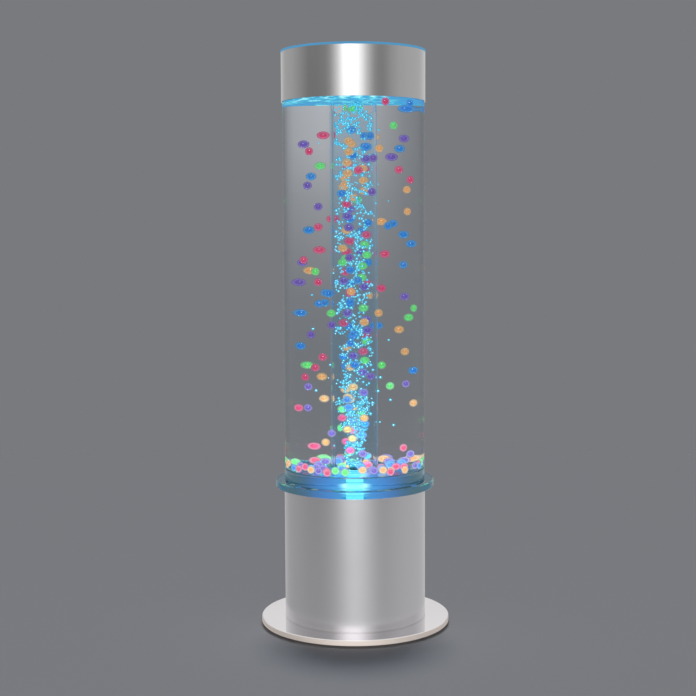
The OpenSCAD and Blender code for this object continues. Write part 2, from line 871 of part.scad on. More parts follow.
module inlet_socket() {
  inner = shell_bore_r - inlet_depth;
  color("black")
    difference() {
      union() {
        rearward(inlet_z) translate([0, 0, inner]) cylinder(d = inlet_barrel_d, h = inlet_face - inner);
        difference() {
          rearward(inlet_z) translate([0, 0, shell_bore_r])
            cylinder(d = inlet_flange_d, h = inlet_face - shell_bore_r);
          cylinder(r = shell_r, h = inlet_z + inlet_flange_d);
        }
      }
      rearward(inlet_z) translate([0, 0, inlet_face - jack_depth]) difference() {
        cylinder(d = jack_bore, h = jack_depth + through);
        translate([0, 0, -through]) cylinder(d = jack_pin_d, h = jack_depth);
      }
    }
}

module inlet_nut() {
  face = inner_seat(inlet_af / 2 / cos(30));
  color("silver")
    rearward(inlet_z) translate([0, 0, face - thin_nut_h]) difference() {
      cylinder(d = inlet_af / cos(30), h = thin_nut_h, $fn = 6);
      translate([0, 0, -through]) cylinder(d = inlet_barrel_d + 2 * bond, h = thin_nut_h + 2 * through);
    }
}

module switch_body() {
  inner = shell_bore_r - switch_depth;
  hollow_w = rocker_w + 2 * slip;
  hollow_tall = 2 * rocker_half + 2.4;
  hollow_in = 5;
  color("black")
    difference() {
      union() {
        translate([-switch_w / 2, inner, switch_z - switch_tall / 2])
          cube([switch_w, bezel_face - inner, switch_tall]);
        difference() {
          translate([-bezel_w / 2, shell_bore_r, switch_z - bezel_tall / 2])
            cube([bezel_w, bezel_face - shell_bore_r, bezel_tall]);
          cylinder(r = shell_r, h = switch_z + bezel_tall);
        }
      }
      translate([-hollow_w / 2, rocker_y - hollow_in, switch_z - hollow_tall / 2])
        cube([hollow_w, hollow_in + pivot_in + through, hollow_tall]);
      translate([-rocker_w / 2 - 1 - slip, rocker_y, switch_z]) rotate([0, 90, 0])
        cylinder(d = rocker_pin_d + 2 * running, h = rocker_w + 2 + 2 * slip);
    }
}

// The rocker leans to its ON side at rest.
module switch_rocker() {
  color("darkslategray")
    translate([0, rocker_y, switch_z]) rotate([-rocker_lean, 0, 0]) {
      translate([-rocker_w / 2, 0, 0]) rotate([90, 0, 90]) linear_extrude(rocker_w)
        polygon([[-pivot_in, -rocker_half], [rocker_tip, -rocker_half], [rocker_dip, 0],
          [rocker_tip, rocker_half], [-pivot_in, rocker_half]]);
      translate([-rocker_w / 2 - 1, 0, 0]) rotate([0, 90, 0]) cylinder(d = rocker_pin_d, h = rocker_w + 2);
    }
}

module button_body() {
  inner = shell_bore_r - button_depth;
  hole_depth = button_len - button_proud + button_travel + 1;
  color("silver")
    difference() {
      union() {
        rearward(button_z) translate([0, 0, inner]) cylinder(d = barrel_d, h = button_face - inner);
        difference() {
          rearward(button_z) translate([0, 0, shell_bore_r])
            cylinder(d = button_flange_d, h = button_face - shell_bore_r);
          cylinder(r = shell_r, h = button_z + button_flange_d);
        }
      }
      rearward(button_z) translate([0, 0, button_face - hole_depth])
        cylinder(d = button_d + 2 * running, h = hole_depth + through);
    }
}

module button_cap() {
  color("dodgerblue")
    rearward(button_z) translate([0, 0, button_face + button_proud - button_len]) rotate_extrude()
      polygon([[0, 0], [button_d / 2, 0], [button_d / 2, button_len - edge],
        [button_d / 2 - edge, button_len], [0, button_len]]);
}

module button_nut() {
  face = inner_seat(button_af / 2 / cos(30));
  color("silver")
    rearward(button_z) translate([0, 0, face - thin_nut_h]) difference() {
      cylinder(d = button_af / cos(30), h = thin_nut_h, $fn = 6);
      translate([0, 0, -through]) cylinder(d = barrel_d + 2 * bond, h = thin_nut_h + 2 * through);
    }
}

// ---- Leads inside the pedestal ----

rear_terminal = box_y + terminal_y;
front_terminal = box_y - terminal_y;
lead_straight = 14;
lead_drop = 100;

// A lead from a rear control to the control box's rear side.
module rear_lead(x, z, from_y) {
  cord(route([0, from_y, z], [0, -1, 0], 3, 5, [x, rear_terminal, entry_z], [0, -1, 0],
    lead_straight, 9, 12), lead_d, [1, 0, 0]);
}

module led_lead() {
  start = [entry_step + 8, (pump_y + pump_w / 2 + box_y - box_w / 2) / 2 - 3, deck_z - board_t];
  color("white")
    cord(route(start, [0, 0, -1], 3, lead_drop, [entry_step, front_terminal, entry_z], [0, 1, 0],
      lead_straight, 10, 14), lead_d, [1, 0, 0]);
}

module pump_lead() {
  start = [core_x + core_w / 2, pump_y + pump_w / 2, plate_z + pump_foot_h + tray_h + 8];
  color("black")
    cord(route(start, [0, 1, 0], 3, 6, [-entry_step, front_terminal, entry_z], [0, 1, 0],
      lead_straight, 6, 10), lead_d, [0, 0, 1]);
}

module power_lead() {
  color("red")
    rear_lead(-entry_step, inlet_z, shell_bore_r - inlet_depth);
}

module switch_lead() {
  color("black")
    rear_lead(0, switch_z, shell_bore_r - switch_depth);
}

module button_lead() {
  color("blue")
    rear_lead(entry_step, button_z, shell_bore_r - button_depth);
}

// ---- Cap ----

lid_hole_ring_r = 20;
lid_hole_d = 5;
lid_edge = 0.4;

module cap_collar() {
  bottom = lid_z - collar_h;
  color("silver")
    translate([0, 0, bottom]) rotate_extrude() polygon([
      [collar_bore_r, 0], [collar_r, 0], [collar_r, collar_h], [tube_r - ledge_w, collar_h],
      [tube_r - ledge_w, collar_h - ledge_t], [collar_bore_r, collar_h - ledge_t]]);
}

module cap_lid() {
  color("lightskyblue", 0.6)
    translate([0, 0, lid_z]) difference() {
      disc(collar_r + lid_over, lid_t, lid_edge);
      for (a = [0:90:270]) rotate(a) translate([lid_hole_ring_r, 0, -through])
        cylinder(d = lid_hole_d, h = lid_t + 2 * through);
    }
}

// ---- Water and balls ----

ball_r = ball_d / 2;
ball_gap = 0.4;
ball_wall_gap = 1;
annulus_in = riser_r + ball_r + ball_wall_gap;
annulus_out = bore_r - ball_r - ball_wall_gap;
core_out = riser_bore_r - ball_r - ball_wall_gap;
ball_floor_z = floor_z + ball_r + ball_gap;
ball_top_z = water_z - ball_r - ball_wall_gap;
drift_low = ball_floor_z + 1.27 * ball_d;
drift_high = ball_top_z - 1.27 * ball_d;
drift_pitch = 1.36 * ball_d;
drift_shake = 0.13 * ball_d;
drift_rows = floor((drift_high - drift_low) / drift_pitch);
ball_pitch = 1.13 * ball_d;
ball_room = ball_r + 1.5 * ball_gap;
drift_reach = annulus_out - 1.1 * ball_d;

function chance(count, seed) = rands(0, 1, count, seed);
function colour_draw(count, seed) = [for (x = chance(count, seed)) floor(5 * x)];

// Every place of a ball is [x, y, z, colour], where the colour is 0 to 4.
function place(r, angle, z, colour) = [r * cos(angle), r * sin(angle), z, colour];

// The place of ball i in rows that are cut into sectors, between two radii. The shares turn, out and
// lift, each 0 to 1, say where in its own room the ball is.
function row_site(i, sectors, inner, outer, turn, out, lift, colour) =
  let(row = floor(i / sectors), sector = i % sectors, width = 360 / sectors,
    r = sqrt(inner * inner + out * (outer * outer - inner * inner)),
    spare = width / 2 - asin(ball_room / r))
  place(r, sector * width + (2 * turn - 1) * spare,
    drift_low + drift_pitch * (row + sector / sectors) + drift_shake * (2 * lift - 1), colour);

// Balls drifting down round the riser.
drift_n = sector_count * drift_rows;
drift_keep = chance(drift_n, 11);
drift_turn = chance(drift_n, 12);
drift_out = chance(drift_n, 13);
drift_lift = chance(drift_n, 14);
drift_colour = colour_draw(drift_n, 15);
drifting = [for (i = [0:drift_n - 1]) if (drift_keep[i] < drift_fill)
  row_site(i, sector_count, annulus_in, drift_reach, drift_turn[i], drift_out[i], drift_lift[i],
    drift_colour[i])];

// Balls rising in the riser, three abreast.
rise_sectors = 3;
rise_in = ball_room / sin(180 / rise_sectors);
rise_n = rise_sectors * drift_rows;
rise_keep = chance(rise_n, 21);
rise_turn = chance(rise_n, 22);
rise_out = chance(rise_n, 23);
rise_lift = chance(rise_n, 24);
rise_colour = colour_draw(rise_n, 25);
rising = [for (i = [0:rise_n - 1]) if (rise_keep[i] < riser_fill)
  row_site(i, rise_sectors, rise_in, core_out, rise_turn[i], rise_out[i], rise_lift[i], rise_colour[i])];

// Balls lying on the floor in rings round the riser, and a ring inside it round the nozzle.
ring_total = floor((annulus_out - annulus_in) / ball_pitch) + 1;
function ring_r(k) = annulus_out - k * ball_pitch;
function ring_places(k) = floor(360 / (2 * asin((ball_pitch / 2) / ring_r(k))));
lying = [for (k = [0:ring_total - 1])
  let(n = ring_places(k), keep = chance(n, 31 + k), colour = colour_draw(n, 61 + k))
  for (i = [0:n - 1]) if (keep[i] < floor_fill)
    place(ring_r(k), 360 * (i + k / 2) / n, ball_floor_z, colour[i])];
core_places = 4;
inside = [for (i = [0:core_places - 1]) place(core_out, 360 * (i + 0.3) / core_places, ball_floor_z, i)];

// Balls floating just under the surface.
top_places = 12;
top_keep = chance(top_places, 41);
top_colour = colour_draw(top_places, 42);
top_ring_r = annulus_out - ball_r;
floating = [for (i = [0:top_places - 1]) if (top_keep[i] < drift_fill)
  place(top_ring_r, 360 * i / top_places, ball_top_z, top_colour[i])];

sites = concat(lying, inside, drifting, rising, floating);

// A ball, or the room that the water leaves for one.
module ball(site, r) {
  translate([site[0], site[1], site[2]]) sphere(r = r, $fn = 32);
}

module balls(colour) {
  for (site = sites) if (site[3] == colour) ball(site, ball_r);
}

module balls_pink() {
  color("hotpink")
    balls(0);
}

module balls_orange() {
  color("orange")
    balls(1);
}

module balls_green() {
  color("limegreen")
    balls(2);
}

module balls_blue() {
  color("dodgerblue")
    balls(3);
}

module balls_purple() {
  color("mediumpurple")
    balls(4);
}

module water() {
  color("lightblue", 0.3)
    difference() {
      translate([0, 0, floor_z]) cylinder(r = bore_r - bond, h = water_z - floor_z);
      riser_wall(bond);
      translate([0, 0, floor_z - through])
        cylinder(d = nozzle_d + 2 * bond, h = seal_t + nozzle_h + bond + through);
      for (site = sites) ball(site, ball_r + ball_gap);
    }
}

base_feet();
base_plate();
base_screws();
tie_rods();
pedestal_shell();
deck_plate();
deck_screws();
bond_ring();
tank_flange();
outer_tube();
tank_floor();
riser_tube();
light_plug();
air_nozzle();
nozzle_seal();
nozzle_nut();
led_board();
leds();
board_screws();
hose_lower();
check_valve();
hose_upper();
pump_feet();
pump_tray();
pump_cover();
pump_screws();
pump_core();
pump_coil();
pump_magnet();
pump_arm();
pump_pivot();
pump_bellows();
valve_block();
control_box();
control_lid();
lid_screws();
control_board();
board_parts();
inlet_socket();
inlet_nut();
switch_body();
switch_rocker();
button_body();
button_cap();
button_nut();
led_lead();
pump_lead();
power_lead();
switch_lead();
button_lead();
cap_collar();
cap_lid();
water();
balls_pink();
balls_orange();
balls_green();
balls_blue();
balls_purple();
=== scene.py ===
import json
import math
import random

import bmesh
import bpy
import numpy as np
from mathutils import Matrix, Vector, kdtree, noise

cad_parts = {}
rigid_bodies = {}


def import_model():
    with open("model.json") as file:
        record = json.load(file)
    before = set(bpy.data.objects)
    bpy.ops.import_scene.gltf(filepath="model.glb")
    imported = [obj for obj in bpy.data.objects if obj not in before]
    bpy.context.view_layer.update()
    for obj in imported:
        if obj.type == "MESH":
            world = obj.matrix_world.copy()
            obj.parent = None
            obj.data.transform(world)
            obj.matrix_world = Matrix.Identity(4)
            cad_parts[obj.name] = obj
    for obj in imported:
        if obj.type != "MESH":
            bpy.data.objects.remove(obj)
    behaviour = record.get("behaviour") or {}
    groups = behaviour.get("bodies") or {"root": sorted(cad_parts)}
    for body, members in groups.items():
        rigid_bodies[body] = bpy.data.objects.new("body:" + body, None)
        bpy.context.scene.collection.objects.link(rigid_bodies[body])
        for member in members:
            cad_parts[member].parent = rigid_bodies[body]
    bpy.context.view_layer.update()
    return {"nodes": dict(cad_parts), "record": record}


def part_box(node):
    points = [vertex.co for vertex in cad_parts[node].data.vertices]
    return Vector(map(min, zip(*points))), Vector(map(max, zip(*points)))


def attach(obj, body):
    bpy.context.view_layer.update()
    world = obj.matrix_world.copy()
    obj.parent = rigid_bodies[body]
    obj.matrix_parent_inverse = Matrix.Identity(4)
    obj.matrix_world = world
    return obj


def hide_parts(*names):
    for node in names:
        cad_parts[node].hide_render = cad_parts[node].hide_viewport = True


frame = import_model()
nodes = frame["nodes"]
scene = bpy.context.scene

# The photograph's plain grey, and the pale light in the tank.
BACKDROP = (0.1912, 0.1946, 0.2086, 1)
WHITE = (1, 1, 1, 1)
PALE = (0.85, 0.98, 1, 1)

# Indices of refraction. The joint's is the one between the water and acrylic that stands in it.
WATER_IOR = 1.333
ACRYLIC_IOR = 1.49
JOINT_IOR = ACRYLIC_IOR / WATER_IOR

# Where materials change along the height or the radius, in metres, from and to: the painted shade line
# at the drum's foot over the plate, the plug's head, the reach of the lamp's light, the fading of the
# bubbles, the lid's rim.
CONTACT_SHADE_HEIGHTS = (0.0116, 0.0132)
PLUG_HEAD_HEIGHTS = (0.2098, 0.2101)
LAMP_HEIGHTS = (0.228, 0.42)
LAMP_RADII = (0.0, 0.09)
BUBBLE_HEIGHTS = (0.23, 0.75)
LID_EDGE_RADII = (0.0985, 0.1012)

# The balls' pale rings of painted light: a piece's name, the heights it has its balls from and to, and its
# strength.
HALOS = (("halo_low", 0, 0.265, 85), ("halo_mid", 0.265, 0.35, 52), ("halo_high", 0.35, 1, 20))
HALO_COLOUR = (0.75, 0.95, 1, 1)

# Sizes of the balls' rings and coloured insides, as shares of the ball's radius.
HALO_SHARE = 0.97
CORE_SHARE = 0.62

# A turned piece's edges sharper than this are shaded as edges.
SHARP_ANGLE = math.radians(35)

BUBBLES = 1550
BUBBLE_SEED = 7

# How the names begin of the pieces that let the lamps' light past them.
NO_SHADOW = ("balls_", "cores_", "halo_", "bubbles", "tube_clear", "water_clear", "riser_tube", "cap_")


# ---- Shader graphs ----

class Graph:
    """A material's or world's node tree, built up from small calls."""

    def __init__(self, owner):
        owner.use_nodes = True
        self.tree = owner.node_tree
        self.tree.nodes.clear()

    def add(self, kind, inputs=None, **props):
        """A node with its properties set, and each input linked to a socket or set to a plain value."""
        node = self.tree.nodes.new(kind)
        for key, value in props.items():
            setattr(node, key, value)
        for key, value in (inputs or {}).items():
            if isinstance(value, bpy.types.NodeSocket):
                self.tree.links.new(value, node.inputs[key])
            else:
                node.inputs[key].default_value = value
        return node

    def math(self, operation, *values):
        return self.add("ShaderNodeMath", dict(enumerate(values)), operation=operation).outputs[0]

    def place(self):
        return self.add("ShaderNodeTexCoord").outputs["Object"]

    def normal(self):
        return self.add("ShaderNodeNewGeometry").outputs["Normal"]

    def split(self, vector):
        """A vector's X, Y and Z."""
        return self.add("ShaderNodeSeparateXYZ", {"Vector": vector}).outputs

    def scaled(self, scale, place=None):
        return self.add("ShaderNodeMapping", {"Vector": place or self.place(), "Scale": scale}).outputs[0]

    def noise(self, scale, detail=3, place=None, rough=0.5):
        return self.add("ShaderNodeTexNoise", {
            "Vector": place or self.place(), "Scale": scale, "Detail": detail, "Roughness": rough,
        }).outputs[0]

    def spread(self, value, low, high, from_low=0.0, from_high=1.0, kind="LINEAR"):
        node = self.add("ShaderNodeMapRange", {
            "Value": value, "From Min": from_low, "From Max": from_high, "To Min": low, "To Max": high,
        }, interpolation_type=kind)
        return node.outputs[0]

    def ramp(self, value, stops, kind="LINEAR"):
        node = self.add("ShaderNodeValToRGB", {"Fac": value})
        node.color_ramp.interpolation = kind
        elements = node.color_ramp.elements
        while len(elements) < len(stops):
            elements.new(0.5)
        for element, (place, colour) in zip(elements, stops):
            element.position = place
            element.color = colour if hasattr(colour, "__len__") else (colour, colour, colour, 1)
        return node.outputs[0]

    def mixed(self, amount, first, second):
        """A colour between two. The node's sockets are told by number, as several share a name."""
        return self.add("ShaderNodeMix", {0: amount, 6: first, 7: second}, data_type="RGBA").outputs[2]

    def blend(self, amount, first, second):
        """A shader between two."""
        return self.add("ShaderNodeMixShader", {"Fac": amount, 1: first, 2: second}).outputs[0]

    def light(self, colour, strength):
        return self.add("ShaderNodeEmission", {"Color": colour, "Strength": strength}).outputs[0]

    def bump(self, height, distance):
        return self.add("ShaderNodeBump", {
            "Height": height, "Distance": distance, "Strength": 1.0,
        }).outputs[0]

    def finish(self, surface, volume=None, kind="ShaderNodeOutputMaterial"):
        output = self.add(kind)
        self.tree.links.new(surface, output.inputs["Surface"])
        if volume is not None:
            self.tree.links.new(volume, output.inputs["Volume"])


def shade(colour, factor):
    """A darker or lighter colour."""
    return tuple(min(1.0, c * factor) for c in colour[:3]) + (1,)


def new_material(name, sampled=True):
    """A material and its graph. One that isn't sampled can glow, but isn't used as a lamp."""
    made = bpy.data.materials.new(name)
    if not sampled:
        made.cycles.emission_sampling = "NONE"
    return made, Graph(made)


def plastic(name, colour, rough=0.4, grain=900, dent=0.00004, vary=0.12, coat=0.0):
    """Moulded plastic, rubber or paint: mottled colour, uneven gloss and a fine moulded grain."""
    made, g = new_material(name)
    blotch = g.noise(45, 4)
    fine = g.noise(grain, 2)
    base = g.mixed(blotch, shade(colour, 1 - vary), shade(colour, 1 + vary))
    gloss = g.spread(g.noise(120, 3), rough - 0.08, rough + 0.08)
    shader = g.add("ShaderNodeBsdfPrincipled", {
        "Base Color": base, "Roughness": gloss, "Normal": g.bump(fine, dent), "Coat Weight": coat,
        "Coat Roughness": 0.08, "IOR": 1.5,
    })
    g.finish(shader.outputs[0])
    return made


def metal(name, colour, rough, brush=(60, 60, 4000), dent=0.000004, vary=0.05, spread=0.06):
    """Metal with a brushed grain along the directions whose scale is small, and faint handling marks."""
    made, g = new_material(name)
    lines = g.noise(1, 3, g.scaled(brush))
    marks = g.noise(22, 5, rough=0.62)
    base = g.mixed(marks, shade(colour, 1 - vary), shade(colour, 1 + vary))
    gloss = g.math("ADD", g.spread(marks, rough - spread, rough + spread, 0.3, 0.7),
                   g.spread(lines, -0.02, 0.02))
    shader = g.add("ShaderNodeBsdfPrincipled", {
        "Base Color": base, "Metallic": 1.0, "Roughness": gloss, "Normal": g.bump(lines, dent),
    })
    g.finish(shader.outputs[0])
    return made


def seen_through(g, surface, tint=WHITE):
    """Lets shadow and diffuse rays straight through a clear surface, so that lamps light what is behind
    it."""
    path = g.add("ShaderNodeLightPath")
    passing = g.math("MAXIMUM", path.outputs["Is Shadow Ray"], path.outputs["Is Diffuse Ray"])
    clear = g.add("ShaderNodeBsdfTransparent", {"Color": tint})
    return g.blend(passing, surface, clear.outputs[0])


def clear(name, ior, tint, rough=0.0, gloss=1.0, edge=None, glow=None, glow_share=0.0):
    """A clear surface that bends light by ior, with its Fresnel gloss scaled by gloss. It can have
    another tint where the wall is seen edge on, and a glow, from a function that gives the glow's colour
    and strength."""
    made, g = new_material(name)
    base = {"Color": tint, "Roughness": rough, "IOR": ior}
    if edge is not None:
        slant = g.add("ShaderNodeLayerWeight", {"Blend": 0.5}).outputs["Facing"]
        base["Color"] = g.mixed(g.spread(slant, 0.0, 1.0, 0.6, 0.85), tint, edge)
    if gloss == 1.0:
        surface = g.add("ShaderNodeBsdfGlass", base).outputs[0]
    else:
        bent = g.add("ShaderNodeBsdfRefraction", base).outputs[0]
        shine = g.add("ShaderNodeBsdfGlossy", {"Roughness": rough}).outputs[0]
        share = g.math("MULTIPLY", g.add("ShaderNodeFresnel", {"IOR": ior}).outputs[0], gloss)
        surface = g.blend(share, bent, shine)
    surface = seen_through(g, surface, tint)
    if glow is not None:
        surface = g.blend(glow_share, surface, g.light(*glow(g)))
    g.finish(surface)
    return made


def radius_of(g):
    """Distance from the column's axis, in metres."""
    x, y, _ = g.split(g.place())
    return g.math("SQRT", g.math("ADD", g.math("POWER", x, 2.0), g.math("POWER", y, 2.0)))


def height_of(g):
    """Height over the floor, in metres."""
    return g.split(g.place())[2]


# ---- Materials ----

def even_glow(colour):
    """The same weak light all over a surface."""
    return lambda g: (colour, 0.8)


def base_glow(g):
    """Blue light in the clear base, cyan and strong round the plug and weaker outwards."""
    out = g.spread(radius_of(g), 0, 1, 0.0, flange_r)
    colour = g.ramp(out, [
        (0.0, (0.35, 1.0, 1.0, 1)), (0.14, (0.12, 0.82, 1.0, 1)), (0.3, (0.03, 0.40, 0.95, 1)),
        (0.55, (0.05, 0.28, 0.5, 1)), (1.0, (0.08, 0.17, 0.21, 1)),
    ], "EASE")
    strength = g.ramp(out, [(0.0, 1.0), (0.16, 0.85), (0.34, 0.5), (0.6, 0.4), (1.0, 0.45)], "EASE")
    return colour, g.math("MULTIPLY", strength, 1.5)


def surface_glow(g):
    """Blue light caught under the water's surface, with bright caustic lines over the bubbles."""
    place = g.scaled((1, 0.3, 1))
    cells = g.add("ShaderNodeTexVoronoi", {"Vector": place, "Scale": 120, "Randomness": 1.0},
                  feature="SMOOTH_F1")
    lines = g.spread(cells.outputs["Distance"], 0, 1, 0.2, 0.62)
    swirl = g.spread(g.noise(46, 5, place, 0.65), 0, 1, 0.36, 0.58)
    calm = g.spread(g.split(g.place())[0], 1.0, 0.0, 0.03, 0.06)
    bright = g.math("MULTIPLY", g.math("MULTIPLY", lines, swirl), calm)
    colour = g.ramp(bright, [
        (0.0, (0.07, 0.45, 0.88, 1)), (0.25, (0.05, 0.50, 0.82, 1)), (0.6, (0.14, 0.78, 0.96, 1)),
        (1.0, (0.55, 1, 1, 1)),
    ])
    return colour, g.spread(bright, 0.95, 1.35)


def lamp_share(g):
    """How much painted lamp light a point in the tank gets: most low down, near the plug."""
    near = g.spread(height_of(g), 1.0, 0.0, *LAMP_HEIGHTS, "SMOOTHSTEP")
    return g.math("MULTIPLY", near, g.spread(radius_of(g), 1.0, 0.4, *LAMP_RADII))


def ball_skin(name, colour):
    """A ball's clear skin: glossy, bending light a little in the water, with a painted glow that is paler
    near the lamp, in some balls more than others."""
    made, g = new_material(name, sampled=False)
    lit = lamp_share(g)
    some = g.spread(g.noise(45, 2), 0.4, 1.0, 0.4, 0.6)
    pale = g.mixed(g.math("MULTIPLY", g.spread(lit, 0.12, 0.6), some), colour, PALE)
    tint = g.mixed(0.5, WHITE, colour)
    bent = g.add("ShaderNodeBsdfRefraction", {
        "Color": tint, "IOR": 1.02, "Roughness": g.spread(g.noise(500), 0.0, 0.08),
    }).outputs[0]
    # Painted glow: light of the skin's own, standing in for the lamp's light scattered in the ball.
    light = g.light(pale, g.spread(lit, 0.75, 1.1))
    shine = g.add("ShaderNodeBsdfGlossy", {
        "Roughness": 0.1, "Normal": g.bump(g.noise(700, 2), 0.00003),
    }).outputs[0]
    edge = g.math("MULTIPLY", g.add("ShaderNodeFresnel", {"IOR": 1.5}).outputs[0], 0.8)
    body = g.blend(g.spread(lit, 0.34, 0.2), bent, light)
    g.finish(seen_through(g, g.blend(g.math("MINIMUM", edge, 0.25), body, shine), tint))
    return made


def ball_core(name, colour, deep):
    """A ball's coloured inside, with a painted glow for the lamp's light shining through it, strongest
    nearest the lamp.
    """
    made, g = new_material(name, sampled=False)
    lit = lamp_share(g)
    blotch = g.noise(160, 3)
    body = g.mixed(blotch, deep, colour)
    # The emission is painted light: strongest, and a touch paler, nearest the lamp.
    shader = g.add("ShaderNodeBsdfPrincipled", {
        "Base Color": body, "Roughness": g.spread(blotch, 0.3, 0.5),
        "Emission Color": g.mixed(lit, body, g.mixed(0.04, colour, PALE)),
        "Emission Strength": g.spread(lit, 0.12, 0.8),
    })
    through = g.add("ShaderNodeBsdfTranslucent", {"Color": colour}).outputs[0]
    g.finish(g.blend(0.3, shader.outputs[0], through))
    return made


def volume_light(g, colour, strength):
    """Finishes a material that is nothing but light scattered inside a piece."""
    g.finish(g.add("ShaderNodeBsdfTransparent").outputs[0], volume=g.light(colour, strength))


def ball_halo(name, strength):
    """Painted light scattered in a ball's clear skin. The skin is thickest to look through just outside the
    coloured inside, so it shows as a pale ring."""
    made, g = new_material(name)
    volume_light(g, HALO_COLOUR, strength)
    return made


def bubble_skin():
    """Air in water: it bends light away, so its rim is dark. A painted glow, brightest at its foot, stands
    in for the lamp below.
    """
    made, g = new_material("bubble_skin", sampled=False)
    foot = g.spread(g.split(g.normal())[2], 1.0, 0.0, -1.0, 0.7, "SMOOTHSTEP")
    colour = g.ramp(foot, [(0.0, (0.02, 0.40, 0.72, 1)), (1.0, (0.08, 0.80, 1, 1))])
    air = g.add("ShaderNodeBsdfGlass", {"IOR": 1 / WATER_IOR, "Roughness": 0.0, "Color": PALE}).outputs[0]
    g.finish(g.blend(0.42, seen_through(g, air), g.light(colour, g.spread(foot, 0.7, 1.4))))
    return made


def bubble_core():
    """The bright point that the lamp's light is gathered to inside a bubble."""
    made, g = new_material("bubble_core", sampled=False)
    near = g.spread(height_of(g), 1.0, 0.0, *BUBBLE_HEIGHTS)
    colour = g.mixed(g.spread(g.noise(400, 2), 0.0, 1.0, 0.35, 0.62), (0.08, 0.52, 0.85, 1), (0.8, 1, 1, 1))
    g.finish(g.light(colour, g.spread(near, 1.7, 4.0)))
    return made


def riser_material():
    """The riser's acrylic in the water: it shows at its sides, and softly where its arches are cut. A
    painted blue glow fills it.
    """
    made, g = new_material("riser_acrylic")
    x, y, _ = g.split(g.place())
    outwards = g.add("ShaderNodeCombineXYZ", {"X": x, "Y": y}).outputs[0]
    radial = g.add("ShaderNodeVectorMath", {0: outwards}, operation="NORMALIZE").outputs[0]
    facing = g.add("ShaderNodeVectorMath", {0: g.normal(), 1: radial}, operation="DOT_PRODUCT")
    index = g.spread(g.math("ABSOLUTE", facing.outputs["Value"]), 1.015, JOINT_IOR, 0.7, 0.98)
    glass = g.add("ShaderNodeBsdfGlass", {
        "IOR": index, "Color": (0.93, 0.968, 0.99, 1), "Roughness": g.spread(g.noise(80), 0.0, 0.015),
    }).outputs[0]
    g.finish(seen_through(g, glass), volume=g.light((0.05, 0.42, 0.72, 1), 6.0))
    return made


def pedestal_material():
    """The drum: satin metal, turned round its axis, with a painted shade line where it meets the plate."""
    made, g = new_material("pedestal_metal")
    lines = g.noise(1, 3, g.scaled((14, 14, 2600)))
    marks = g.noise(22, 5, rough=0.62)
    satin = g.mixed(marks, (0.692, 0.683, 0.706, 1), (0.718, 0.708, 0.733, 1))
    # Painted shade: the metal is darker just above the plate, where the drum stands in it.
    contact_shade = g.spread(height_of(g), 1.0, 0.0, *CONTACT_SHADE_HEIGHTS, "SMOOTHSTEP")
    shader = g.add("ShaderNodeBsdfPrincipled", {
        "Base Color": g.mixed(contact_shade, satin, (0.62, 0.61, 0.62, 1)), "Metallic": 1.0,
        "Roughness": g.math("ADD", g.spread(marks, 0.18, 0.22, 0.3, 0.7), g.spread(lines, -0.02, 0.02)),
        "Normal": g.bump(lines, 0.0000008),
    })
    g.finish(shader.outputs[0])
    return made


def plate_material():
    """The base plate: polished on top, and turned, duller and warmer round its edge."""
    made, g = new_material("plate_metal")
    side = g.spread(g.split(g.normal())[2], 1.0, 0.0, 0.2, 0.8)
    marks = g.noise(22, 5, rough=0.62)
    top = g.mixed(marks, (0.86, 0.83, 0.84, 1), (0.92, 0.895, 0.905, 1))
    rim = g.mixed(g.noise(1, 3, g.scaled((30, 30, 3000))), (0.86, 0.77, 0.71, 1), (0.94, 0.85, 0.79, 1))
    shader = g.add("ShaderNodeBsdfPrincipled", {
        "Base Color": g.mixed(side, top, rim), "Metallic": g.spread(side, 1.0, 0.85),
        "Roughness": g.math("ADD", g.spread(side, 0.07, 0.6), g.spread(marks, -0.02, 0.02)),
        "Normal": g.bump(marks, 0.000002),
    })
    g.finish(shader.outputs[0])
    return made


def lid_material():
    """The lid: clear on its faces, lit blue in its edge."""
    made, g = new_material("lid_acrylic")
    edge = g.spread(radius_of(g), 0.0, 1.0, *LID_EDGE_RADII, "SMOOTHSTEP")
    glass = g.add("ShaderNodeBsdfGlass", {
        "Color": (0.86, 0.95, 1, 1), "IOR": ACRYLIC_IOR, "Roughness": g.spread(g.noise(60, 3), 0.0, 0.04),
    }).outputs[0]
    light = g.light((0.10, 0.36, 0.62, 1), 0.9)
    g.finish(g.blend(g.spread(edge, 0.12, 0.85), seen_through(g, glass), light))
    return made


def lit_lens(name, colour):
    """A lens with a lamp's light in it, uneven as moulded plastic is."""
    made, g = new_material(name)
    swirl = g.noise(260, 4)
    shader = g.add("ShaderNodeBsdfPrincipled", {
        "Base Color": (0.3, 0.75, 0.9, 1), "Roughness": g.spread(swirl, 0.15, 0.3),
        "Emission Color": g.mixed(swirl, shade(colour, 0.8), colour), "Emission Strength": 1.15,
    })
    g.finish(shader.outputs[0])
    return made


def plug_material():
    """The plug: full of light in its narrow foot, and clear in the wide head above, with a faint painted
    glow in the head.
    """
    made, g = new_material("light_plug")
    head = g.spread(height_of(g), 0.0, 1.0, *PLUG_HEAD_HEIGHTS)
    swirl = g.noise(260, 4)
    light = g.light(g.mixed(swirl, (0.16, 0.78, 0.9, 1), (0.3, 1, 1, 1)), 1.15)
    head_glow = g.light((0.03, 0.5, 0.9, 1), g.spread(swirl, 0.6, 0.8))
    bent = g.add("ShaderNodeBsdfRefraction", {"IOR": 1.01, "Color": (0.95, 1, 1, 1)}).outputs[0]
    g.finish(g.blend(head, light, g.blend(0.22, seen_through(g, bent), head_glow)))
    return made


